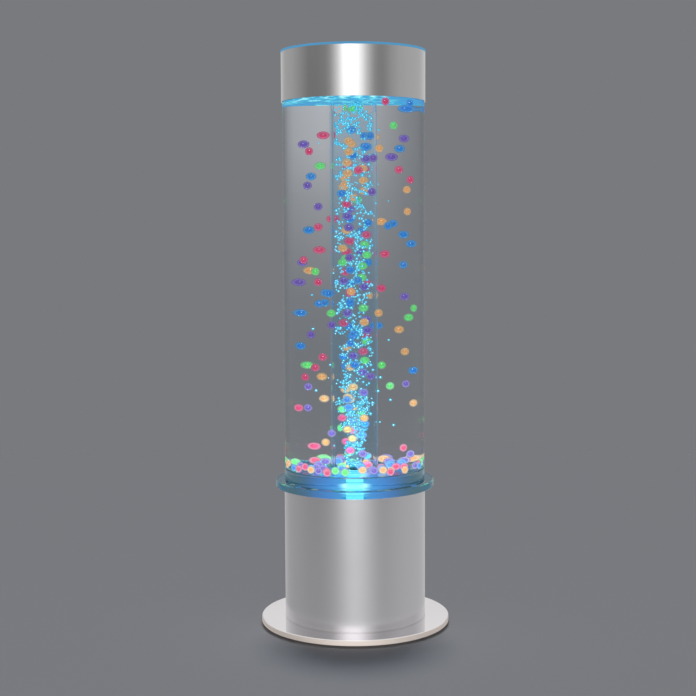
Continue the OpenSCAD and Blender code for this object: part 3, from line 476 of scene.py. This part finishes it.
def laminated():
    """The pump's core, of iron sheets one behind the other."""
    made, g = new_material("core_iron")
    sheets = g.add("ShaderNodeTexWave", {"Vector": g.place(), "Scale": 320, "Distortion": 0.4},
                   bands_direction="Y")
    base = g.mixed(sheets.outputs["Fac"], (0.10, 0.10, 0.105, 1), (0.36, 0.355, 0.35, 1))
    shader = g.add("ShaderNodeBsdfPrincipled", {
        "Base Color": base, "Metallic": 0.9, "Roughness": g.spread(height_of(g), 0.35, 0.6, 0, 0.1),
        "Normal": g.bump(sheets.outputs["Fac"], 0.0001),
    })
    g.finish(shader.outputs[0])
    return made


def wound():
    """The pump's coil, of turns of copper wire."""
    made, g = new_material("copper")
    turns = g.add("ShaderNodeTexWave", {"Vector": g.place(), "Scale": 520, "Distortion": 0.6},
                  bands_direction="Z")
    base = g.mixed(turns.outputs["Fac"], (0.28, 0.09, 0.04, 1), (0.75, 0.36, 0.18, 1))
    shader = g.add("ShaderNodeBsdfPrincipled", {
        "Base Color": base, "Metallic": 0.85, "Roughness": g.spread(g.noise(200), 0.25, 0.5),
        "Normal": g.bump(turns.outputs["Fac"], 0.0002),
    })
    g.finish(shader.outputs[0])
    return made


# Each colour's name, with the balls' colour and the deeper one mottled into their insides.
ball_colours = {
    "pink": ((0.86, 0.055, 0.26, 1), (0.66, 0.02, 0.15, 1)),
    "orange": ((0.94, 0.56, 0.22, 1), (0.76, 0.38, 0.10, 1)),
    "green": ((0.22, 0.88, 0.28, 1), (0.10, 0.68, 0.14, 1)),
    "blue": ((0.0, 0.36, 0.82, 1), (0.0, 0.20, 0.56, 1)),
    "purple": ((0.27, 0.13, 0.62, 1), (0.15, 0.06, 0.40, 1)),
}
slots = {
    "rubber_black": plastic("rubber_black", (0.03, 0.03, 0.03), 0.75, 1400, 0.00008, 0.25),
    "plate_metal": plate_material(),
    "steel": metal("steel", (0.62, 0.62, 0.64), 0.32),
    "pedestal_metal": pedestal_material(),
    "deck_metal": metal("deck_metal", (0.72, 0.72, 0.73), 0.4, (900, 30, 30)),
    "tape": plastic("tape", (0.75, 0.78, 0.8), 0.5),
    "clear_acrylic": riser_material(),
    "light_plug": plug_material(),
    "nozzle": plastic("nozzle", (0.03, 0.15, 0.2), 0.3),
    "board_white": plastic("board_white", (0.85, 0.86, 0.84), 0.35, 500),
    "led_lens": lit_lens("led_lens", (0.7, 0.95, 1, 1)),
    "silicone": plastic("silicone", (0.6, 0.63, 0.64), 0.35, 700, vary=0.05),
    "valve_plastic": plastic("valve_plastic", (0.85, 0.87, 0.88), 0.3),
    "pump_case": plastic("pump_case", (0.1, 0.12, 0.14), 0.5, 1300),
    "core_iron": laminated(),
    "copper": wound(),
    "magnet": plastic("magnet", (0.07, 0.07, 0.075), 0.45, 1800, 0.00006, 0.3),
    "arm_metal": metal("arm_metal", (0.7, 0.7, 0.71), 0.3, (40, 1500, 900)),
    "box_plastic": plastic("box_plastic", (0.2, 0.21, 0.22), 0.5, 1300),
    "board_green": plastic("board_green", (0.03, 0.2, 0.09), 0.3, 500, vary=0.3),
    "part_black": plastic("part_black", (0.04, 0.04, 0.045), 0.45),
    "control_black": plastic("control_black", (0.03, 0.03, 0.035), 0.35, 1500),
    "button_metal": metal("button_metal", (0.66, 0.66, 0.68), 0.22, (2500, 60, 60)),
    "button_cap": plastic("button_cap", (0.08, 0.35, 0.75), 0.25, vary=0.05, coat=0.6),
    "lead_white": plastic("lead_white", (0.8, 0.8, 0.79), 0.45),
    "lead_black": plastic("lead_black", (0.03, 0.03, 0.03), 0.45),
    "lead_red": plastic("lead_red", (0.55, 0.04, 0.03), 0.45),
    "lead_blue": plastic("lead_blue", (0.04, 0.14, 0.5), 0.45),
    "collar_metal": metal("collar_metal", (0.86, 0.865, 0.86), 0.09, (10, 10, 1500), 0.000001, 0.015, 0.02),
}
for hue, (colour, _) in ball_colours.items():
    slots["ball_" + hue] = ball_skin("ball_skin_" + hue, colour)


def dress(node, made):
    """Gives a solid one material."""
    node.data.materials.clear()
    node.data.materials.append(made)


# The slots lit_acrylic and water aren't in the table. The lid is given its own material, and pieces
# below stand in for the other solids in them.
slot_of = {row["node"]: row["material_slot"] for row in frame["record"]["subparts"]}
for name, node in nodes.items():
    if slot_of[name] in slots:
        dress(node, slots[slot_of[name]])
dress(nodes["cap_lid"], lid_material())


# ---- Clear pieces in optical contact ----

def new_piece(name, data, materials):
    """An object in the scene, from its mesh data and materials."""
    for made in materials:
        data.materials.append(made)
    piece = bpy.data.objects.new(name, data)
    scene.collection.objects.link(piece)
    return piece


def built_piece(name, mesh, materials):
    """An object in the scene, from a mesh under construction, which is freed."""
    data = bpy.data.meshes.new(name)
    mesh.to_mesh(data)
    mesh.free()
    return new_piece(name, data, materials)


def lathe(name, strips, sides=256):
    """A turned piece from strips of (radius, height) points, each with its material."""
    mesh = bmesh.new()
    materials = []
    for points, made in strips:
        if made not in materials:
            materials.append(made)
        rings = []
        for r, z in points:
            if r == 0:
                rings.append([mesh.verts.new((0, 0, z))] * sides)
                continue
            turns = [2 * math.pi * i / sides for i in range(sides)]
            rings.append([mesh.verts.new((r * math.cos(a), r * math.sin(a), z)) for a in turns])
        for low, high in zip(rings, rings[1:]):
            for i in range(sides):
                j = (i + 1) % sides
                corners = list(dict.fromkeys((low[i], low[j], high[j], high[i])))
                face = mesh.faces.new(corners)
                face.smooth = True
                face.material_index = materials.index(made)
    bmesh.ops.remove_doubles(mesh, verts=mesh.verts, dist=1e-7)
    for line in mesh.edges:
        line.smooth = len(line.link_faces) == 2 and line.calc_face_angle() < SHARP_ANGLE
    return built_piece(name, mesh, materials)


def lined_lathe(name, profile, skins):
    """A turned piece from one profile, each of whose lines has a material of its own."""
    return lathe(name, [(ends, made) for *ends, made in zip(profile, profile[1:], skins)])


# Sizes from the frame, in metres.
flange_low, flange_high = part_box("tank_flange")
tube_low, tube_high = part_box("outer_tube")
water_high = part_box("water")[1]
floor_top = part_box("tank_floor")[1].z
nozzle_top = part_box("air_nozzle")[1].z
plug_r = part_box("light_plug")[1].x
water_top = water_high.z
flange_r = flange_high.x
tube_r = tube_high.x
bore_r = water_high.x + 0.0001

# Sizes chosen here: the plug's narrow stem, the flange's chamfer, the gap that keeps faces apart, and
# the pieces that glow.
stem_r = 0.00825
edge = 0.0008
clearance = 0.0003
under_z = flange_low.z + clearance
glow_r = 0.06
plume_foot_r = 0.012
plume_r = 0.020
plume_height = 0.24

skin_glow = even_glow((0.05, 0.15, 0.2, 1))
acrylic_skin = clear("acrylic_skin", ACRYLIC_IOR, (0.76, 0.92, 0.97, 1), glow=skin_glow, glow_share=0.08)
acrylic_top = clear("acrylic_top", ACRYLIC_IOR, (0.70, 0.88, 0.98, 1), rough=0.14, gloss=0.6,
                    glow=skin_glow, glow_share=0.08)
acrylic_under = clear("acrylic_under", ACRYLIC_IOR, (0.72, 0.92, 0.97, 1), glow=base_glow, glow_share=0.12)
acrylic_rim = clear("acrylic_rim", ACRYLIC_IOR, (0.85, 0.95, 1, 1), glow=even_glow((0.05, 0.16, 0.22, 1)),
                    glow_share=0.2)
tube_skin = clear("tube_skin", WATER_IOR, (0.96, 0.975, 0.985, 1), gloss=0.35, edge=(0.72, 0.76, 0.78, 1))
water_floor = clear("water_floor", JOINT_IOR, (0.72, 0.92, 1, 1), glow=base_glow, glow_share=0.06)
joint_glue = plastic("joint_glue", (0.40, 0.70, 0.85), 0.3)

flange = lined_lathe("flange_clear", [
    (stem_r, under_z), (flange_r - edge, under_z), (flange_r, under_z + edge),
    (flange_r, flange_high.z - edge), (flange_r - edge, flange_high.z), (tube_r, flange_high.z),
], (acrylic_under, acrylic_rim, acrylic_skin, acrylic_rim, acrylic_top))
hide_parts("tank_flange")
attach(flange, "base")

# The disc's top, and the bead of glue round it against the tube.
floor_disc = lathe("floor_clear", [
    ([(tube_r, floor_top), (plug_r, floor_top)], water_floor),
    ([(bore_r, floor_top - 0.0002), (bore_r - 0.0008, floor_top + 0.0001),
      (bore_r - 0.0010, floor_top + 0.0005), (bore_r - 0.0002, floor_top + 0.0012)], joint_glue),
])
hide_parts("tank_floor")
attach(floor_disc, "base")


def scattered_light():
    """The lamp's light scattered in the clear disc and flange: a cyan heart that swells in the disc, then
    blue, then nothing."""
    made, g = new_material("scattered_light")
    swell = g.ramp(g.spread(height_of(g), 0, 1, flange_low.z, flange_high.z), [
        (0.0, 0.8), (0.4, 1.0), (0.6, 1.0), (0.85, 0.2), (1.0, 0.0),
    ], "EASE")
    heart_radii = (0.009, 0.019)
    reach = g.math("DIVIDE", radius_of(g), g.spread(swell, *heart_radii))
    heart = g.math("MULTIPLY", g.spread(reach, 1.0, 0.0, 0.45, 1.0, "SMOOTHSTEP"), swell)
    blue = g.ramp(g.spread(radius_of(g), 0, 1, 0.0, glow_r), [
        (0.0, (0.05, 0.8, 1.0, 1)), (0.22, (0.03, 0.6, 1.0, 1)),
        (0.42, (0.02, 0.32, 0.95, 1)), (0.66, (0.0, 0.17, 0.75, 1)), (0.82, (0.0, 0.04, 0.22, 1)),
        (1.0, (0.0, 0.0, 0.0, 1)),
    ])
    volume_light(g, g.mixed(heart, blue, (4.6, 8.5, 8.5, 1)), 7.5)
    return made


def plume_light():
    """The lamp's light caught in the thick of the bubbles over the nozzle, gone a third of the way up."""
    made, g = new_material("plume_light")
    up = g.spread(height_of(g), 0, 1, nozzle_top, nozzle_top + plume_height)
    reach = g.math("DIVIDE", radius_of(g), g.spread(up, plume_foot_r, plume_r, 0.0, 0.5))
    heart = g.math("MULTIPLY", g.spread(reach, 1.0, 0.0, 0.1, 1.0, "SMOOTHSTEP"),
                   g.math("POWER", g.spread(up, 1.0, 0.0), 1.6))
    uneven = g.spread(g.noise(120, 3), 0.3, 1.7, 0.35, 0.65)
    volume_light(g, (0.12, 0.72, 1, 1), g.math("MULTIPLY", g.math("MULTIPLY", heart, uneven), 13.0))
    return made


plume = lathe("plume_light", [
    ([(0, nozzle_top), (plume_foot_r, nozzle_top), (plume_r, nozzle_top + plume_height / 2),
      (plume_r, nozzle_top + plume_height), (0, nozzle_top + plume_height)], plume_light()),
], 64)
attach(plume, "base")

base_light = lathe("base_light", [
    ([(0, under_z + clearance), (glow_r, under_z + clearance), (glow_r, floor_top - clearance),
      (0, floor_top - clearance)], scattered_light()),
], 96)
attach(base_light, "base")

plug_core = lathe("plug_core", [
    ([(0, flange_high.z + 0.0001), (stem_r, flange_high.z + 0.0001), (stem_r, floor_top - 0.0009),
      (stem_r - 0.0005, floor_top - 0.0004), (0, floor_top - 0.0004)],
     lit_lens("plug_core", (0.3, 1, 1, 1))),
], 96)
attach(plug_core, "base")

# The water and the tube's wall are one medium up to the water's surface, so the tube has no bore there.
tube = lined_lathe("tube_clear", [
    (tube_r, tube_low.z), (tube_r, floor_top), (tube_r, tube_high.z), (bore_r, tube_high.z),
    (bore_r, water_top),
], (acrylic_skin, tube_skin, tube_skin, tube_skin))
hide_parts("outer_tube")
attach(tube, "base")


# ---- Water surface ----

def rippled_surface(name, made):
    """The water's surface, with rings from the bubbles that burst over the riser and a lip up the wall."""
    rings = 72
    sides = 256
    level = water_top - 0.0012
    mouth_r = 0.03
    calm_width = 0.06
    lip_height = 0.0012
    lip_width = 0.004
    mesh = bmesh.new()
    grid = []
    for k in range(rings + 1):
        r = bore_r * k / rings
        row = []
        for i in range(sides if k else 1):
            a = 2 * math.pi * i / sides
            x = r * math.cos(a)
            y = r * math.sin(a)
            burst = noise.noise(Vector((x * 160, y * 160, 3.1))) * 0.0011
            chop = noise.noise(Vector((x * 60, y * 60, 7.7))) * 0.0010
            ring = math.sin(r * 700) * 0.0004
            calm = 1.0 if r < mouth_r else max(0.25, 1 - (r - mouth_r) / calm_width)
            lip = lip_height * max(0.0, 1 - (bore_r - r) / lip_width) ** 2
            row.append(mesh.verts.new((x, y, level + (burst + chop + ring) * calm + lip)))
        grid.append(row)
    for k in range(rings):
        for i in range(sides):
            j = (i + 1) % sides
            inner = grid[k]
            outer = grid[k + 1]
            if k == 0:
                face = mesh.faces.new((inner[0], outer[i], outer[j]))
            else:
                face = mesh.faces.new((inner[i], outer[i], outer[j], inner[j]))
            face.smooth = True
    return built_piece(name, mesh, [made])


water_skin = clear("water_skin", WATER_IOR, (0.9, 0.98, 1, 1), glow=surface_glow, glow_share=0.72)
surface = rippled_surface("water_clear", water_skin)
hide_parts("water")
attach(surface, "base")


# ---- Balls and bubbles ----

def ball_points():
    """Every ball's colour, centre and radius, from the CAD nodes' own meshes, whose points are grouped
    by the edges between them."""
    found = []
    for hue in ball_colours:
        mesh = nodes["balls_" + hue].data
        points = np.zeros(len(mesh.vertices) * 3, np.float32)
        mesh.vertices.foreach_get("co", points)
        points = points.reshape(-1, 3)
        edges = np.zeros(len(mesh.edges) * 2, np.int32)
        mesh.edges.foreach_get("vertices", edges)
        edges = edges.reshape(-1, 2)
        group = np.arange(len(points))
        while True:
            least = np.minimum(group[edges[:, 0]], group[edges[:, 1]])
            after = group.copy()
            np.minimum.at(after, edges[:, 0], least)
            np.minimum.at(after, edges[:, 1], least)
            after = after[after]
            if (after == group).all():
                break
            group = after
        for label in np.unique(group):
            part = points[group == label]
            low = part.min(0)
            high = part.max(0)
            found.append((hue, Vector((low + high) / 2), float(high[2] - low[2]) / 2))
    return found


def unit_ball(subdivisions, radius):
    """The points and faces of a ball round the origin."""
    mesh = bmesh.new()
    bmesh.ops.create_icosphere(mesh, subdivisions=subdivisions, radius=radius)
    points = [v.co.copy() for v in mesh.verts]
    faces = [[v.index for v in face.verts] for face in mesh.faces]
    mesh.free()
    return points, faces


def swarm_piece(name, placed, layers):
    """One mesh of many small balls: each place holds every layer's shape, in that layer's material."""
    points = []
    faces = []
    finish = []
    for place in placed:
        for layer, ((unit_points, unit_faces), _) in enumerate(layers):
            start = len(points)
            points.extend(place @ point for point in unit_points)
            faces.extend([start + i for i in face] for face in unit_faces)
            finish.extend([layer] * len(unit_faces))
    data = bpy.data.meshes.new(name)
    data.from_pydata(points, [], faces)
    piece = new_piece(name, data, [made for _, made in layers])
    data.polygons.foreach_set("material_index", finish)
    data.shade_smooth()
    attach(piece, "base")
    return piece


def ball_place(centre, r):
    """Where a ball of radius 1 becomes one of radius r round centre."""
    return Matrix.Translation(centre) @ Matrix.Diagonal((r, r, r, 1))


def bubble_places(balls, count):
    """Bubbles rising from the nozzle: a thick plume low down that widens to fill the riser, in clusters,
    and a few strays outside it. None touches a ball."""
    draw = random.Random(BUBBLE_SEED)
    tree = kdtree.KDTree(len(balls))
    for i, (_, centre, _) in enumerate(balls):
        tree.insert(centre, i)
    tree.balance()
    ball_r = balls[0][2]
    low = nozzle_top + 0.001
    high = water_top - 0.003
    wall = 0.0205
    plume_share = 0.35
    widen_height = 0.13
    thick_height = 0.12
    stray_chance = 0.02
    stray_r = 0.026
    stray_width = 0.02
    ball_gap = 0.0002
    placed = []
    while len(placed) < count:
        z = low + (high - low) * draw.random() ** 1.05
        width = wall * min(1.0, plume_share + (z - low) / widen_height)
        r = width * math.sqrt(draw.random())
        if draw.random() < stray_chance:
            r = stray_r + stray_width * draw.random()
        a = draw.random() * 2 * math.pi
        centre = Vector((r * math.cos(a), r * math.sin(a), z))
        clump = noise.noise(Vector((centre.x * 75, centre.y * 75, z * 60)))
        keep = 0.1 + 2.8 * clump + 0.9 * max(0.0, 1 - (z - low) / thick_height)
        size = 0.0013 + 0.0015 * draw.random() ** 1.8
        if draw.random() > keep or tree.find(centre)[2] < ball_r + size + ball_gap:
            continue
        tilt = Matrix.Rotation(draw.uniform(-0.5, 0.5), 4, Vector((math.cos(a), math.sin(a), 0)))
        form = Matrix.Diagonal((size * 0.8, size * 0.8, size * draw.uniform(0.8, 1.0), 1))
        placed.append(Matrix.Translation(centre) @ tilt @ form)
    return placed


balls = ball_points()
core_ball = unit_ball(3, CORE_SHARE)
for hue, (colour, deep) in ball_colours.items():
    places = [ball_place(centre, r) for own, centre, r in balls if own == hue]
    cores = swarm_piece("cores_" + hue, places, [(core_ball, ball_core("ball_core_" + hue, colour, deep))])
halo_ball = unit_ball(3, HALO_SHARE)
for name, low, high, strength in HALOS:
    places = [ball_place(centre, r) for _, centre, r in balls if low <= centre.z < high]
    halos = swarm_piece(name, places, [(halo_ball, ball_halo(name, strength))])
swarm = swarm_piece("bubbles", bubble_places(balls, BUBBLES), [
    (unit_ball(2, 1.0), bubble_skin()), (unit_ball(1, 0.5), bubble_core()),
])
for piece in list(nodes.values()) + list(scene.objects):
    if piece.name.startswith(NO_SHADOW):
        piece.visible_shadow = False


# ---- Stage, light and camera ----

def floor_piece():
    """The ground, which fades out into the backdrop far from the lamp."""
    made, g = new_material("stage_floor")
    out = g.spread(radius_of(g), 0.0, 1.0, 1.0, 2.6, "SMOOTHSTEP")
    matt = g.add("ShaderNodeBsdfDiffuse", {"Color": BACKDROP}).outputs[0]
    gone = g.add("ShaderNodeBsdfTransparent").outputs[0]
    g.finish(g.blend(out, matt, gone))
    mesh = bmesh.new()
    bmesh.ops.create_grid(mesh, x_segments=40, y_segments=40, size=3.0)
    piece = built_piece("stage_floor", mesh, [made])
    piece.visible_glossy = False


def by_azimuth(g, share, boxes):
    """Levels of the soft boxes round the studio, from (azimuth in degrees, level) stops."""
    return g.ramp(share, [((a + 180) / 360, level) for a, level in boxes])


def studio_world():
    """Even light for matt surfaces, soft boxes for gloss, a backdrop that lightens upwards seen through the
    clear column, and the photograph's plain grey behind it all."""
    world = bpy.data.worlds.new("studio")
    scene.world = world
    g = Graph(world)
    x, y, z = g.split(g.add("ShaderNodeTexCoord").outputs["Generated"])
    path = g.add("ShaderNodeLightPath")
    turn = g.math("ARCTAN2", x, g.math("MULTIPLY", y, -1.0))
    share = g.spread(turn, 0, 1, -math.pi, math.pi)
    boxes = by_azimuth(g, share, [
        (-180, 0.62), (-160, 0.53), (-138, 0.385), (-111, 0.34), (-91, 0.262), (-74, 0.185), (-58, 0.185),
        (-44, 0.21), (-37, 0.275), (-31, 0.41), (-24, 0.64), (-17.5, 0.97), (-11, 1.2), (2, 1.25), (8, 1.12),
        (14.6, 0.87), (21, 0.58), (27.6, 0.39), (34, 0.27), (41, 0.222), (48, 0.219), (55, 0.252),
        (62, 0.298), (78, 0.363), (96, 0.39), (117, 0.407), (131, 0.43), (150, 0.53), (180, 0.62),
    ])
    ground = by_azimuth(g, share, [
        (-180, 0.6), (-141, 0.45), (-125, 0.42), (-101, 0.40), (-83, 0.375), (-59, 0.375), (-45, 0.41),
        (-31, 0.48), (-22, 0.56), (-11, 0.67), (-1, 0.73), (13, 0.67), (28, 0.55), (41, 0.465), (52, 0.455),
        (70, 0.485), (87, 0.51), (118, 0.53), (153, 0.56), (180, 0.66),
    ])
    gloss = g.mixed(g.spread(z, 0.0, 1.0, -0.17, -0.10, "SMOOTHSTEP"), ground, boxes)
    back = g.spread(y, 0.0, 1.0, 0.35, 0.8)
    over = g.mixed(back, g.spread(z, 0.0, 1.0, 0.10, 0.60, "SMOOTHSTEP"),
                 g.spread(z, 0.0, 1.0, 0.17, 0.36, "SMOOTHSTEP"))
    sky = by_azimuth(g, share, [(-40, 0.84), (-20, 1.12), (18, 1.12), (38, 0.84)])
    gloss = g.mixed(over, gloss, sky)
    rise = g.ramp(g.spread(z, 0, 1, -0.1, 0.25), [
        (0.0286, 0.0), (0.143, 0.06), (0.241, 0.2), (0.346, 0.39), (0.45, 0.7), (0.657, 1.0), (0.72, 0.5),
        (0.8, 0.0),
    ])
    aside = g.ramp(g.spread(x, 0, 1, -1, 1), [
        (0.1, 0.0), (0.3, 0.25), (0.44, 0.7), (0.6, 1.0), (0.78, 0.75), (0.92, 0.15),
    ])
    lift = g.math("MULTIPLY", rise, aside)
    behind = g.mixed(lift, (0.18, 0.187, 0.198, 1), (0.52, 0.525, 0.55, 1))
    through = g.mixed(g.spread(y, 0.0, 1.0, -0.3, 0.0), (0.30, 0.305, 0.32, 1), behind)
    colour = g.mixed(path.outputs["Is Glossy Ray"], (0.29, 0.29, 0.297, 1), gloss)
    colour = g.mixed(path.outputs["Is Transmission Ray"], colour, through)
    colour = g.mixed(path.outputs["Is Camera Ray"], colour, BACKDROP)
    light = g.add("ShaderNodeBackground", {"Color": colour, "Strength": 1.0}).outputs[0]
    g.finish(light, kind="ShaderNodeOutputWorld")


def lamp(name, kind, location, target, energy, colour=(1, 1, 1), **props):
    """A light at a place, turned to a target."""
    data = bpy.data.lights.new(name, kind)
    data.energy = energy
    data.color = colour
    for key, value in props.items():
        setattr(data, key, value)
    made = bpy.data.objects.new(name, data)
    made.location = location
    made.rotation_mode = "QUATERNION"
    made.rotation_quaternion = (Vector(target) - Vector(location)).to_track_quat("-Z", "Y")
    scene.collection.objects.link(made)
    return made


def camera():
    """The photograph's view, fitted to its outlines: a long lens a little above the column's middle."""
    pan = -0.00456
    pitch = 0.08765
    roll = -0.00465
    eye = (0, -1.94145, 0.56804)
    focal_pixels = 1363.53
    photo_pixels = 696
    right = Vector((math.cos(pan), -math.sin(pan), 0))
    ahead = Vector((math.sin(pan), math.cos(pan), 0))
    forward = math.cos(pitch) * ahead - math.sin(pitch) * Vector((0, 0, 1))
    above = math.sin(pitch) * ahead + math.cos(pitch) * Vector((0, 0, 1))
    across = math.cos(roll) * right + math.sin(roll) * above
    up = math.cos(roll) * above - math.sin(roll) * right
    data = bpy.data.cameras.new("camera")
    data.sensor_width = 36
    data.lens = data.sensor_width * focal_pixels / photo_pixels
    made = bpy.data.objects.new("camera", data)
    basis = Matrix((across, up, -forward)).transposed()
    made.matrix_world = Matrix.Translation(eye) @ basis.to_4x4()
    scene.collection.objects.link(made)
    scene.camera = made


floor_piece()
studio_world()
key = lamp("key", "SUN", (0.0, 1.8, 3), (0, 0, 0), 2.6, angle=math.radians(22))
key.visible_transmission = False
key.visible_glossy = False
tank_lamp = lamp("tank_lamp", "AREA", (0, 0, floor_top + 0.006), (0, 0, 1), 0.22, (0.15, 0.8, 1.0),
                 size=0.012)
tank_lamp.visible_glossy = False
glint = lamp("glint", "AREA", (-0.14, -1.5, 1.35), (0, 0, 0.5), 42.0, size=0.4)
glint.visible_diffuse = False
for light in (glint, tank_lamp):
    light.visible_camera = False
    light.visible_transmission = False
camera()
scene.view_settings.view_transform = "Standard"
scene.cycles.max_bounces = 20
scene.cycles.transmission_bounces = 18
scene.cycles.transparent_max_bounces = 24
scene.cycles.glossy_bounces = 8
